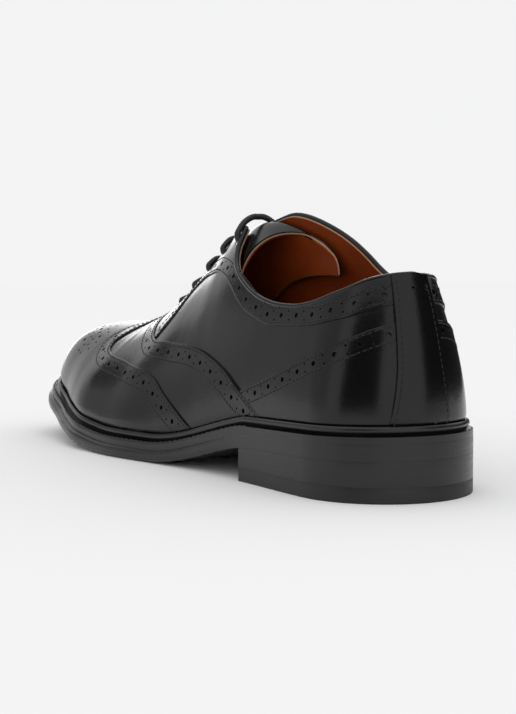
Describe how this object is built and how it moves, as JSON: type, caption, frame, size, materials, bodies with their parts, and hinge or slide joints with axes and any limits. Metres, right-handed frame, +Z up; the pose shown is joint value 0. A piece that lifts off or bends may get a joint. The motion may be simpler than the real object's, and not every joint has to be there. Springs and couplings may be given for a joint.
{
  "type": "brogue shoe",
  "caption": "Left wing-tip oxford shoe: hollow black leather upper with punched overlays, tongue and lace, on a stitched welt, leather sole and low stacked heel.",
  "frame": {"origin": "on the floor, in the middle of the underside of the heel, 40 mm ahead of the back of the sole", "axes": "+X to the toe, +Y to the outer side of the foot, +Z up; the shoe stands on its heel and forefoot on Z = 0"},
  "size_m": [0.3047, 0.1026, 0.1121],
  "materials": {
    "black_leather": "polished black calf leather",
    "black_edge": "black inked leather edge",
    "black_rubber": "matt black rubber",
    "black_lace": "waxed black round lace",
    "tan_lining": "smooth tan lining leather"
  },
  "bodies": {
    "root": {"heel_top_piece": "black_rubber", "heel_stack": "black_edge", "outsole": "black_edge", "welt": "black_edge", "insole": "tan_lining", "upper": "black_leather", "tongue": "black_leather", "vamp": "black_leather", "wing_cap": "black_leather", "counter": "black_leather", "facing_band": "black_leather", "back_strip": "black_leather", "lace_bar_1": "black_lace", "lace_bar_2": "black_lace", "lace_bar_3": "black_lace", "lace_bar_4": "black_lace", "lace_bar_5": "black_lace"}
  },
  "joints": []
}
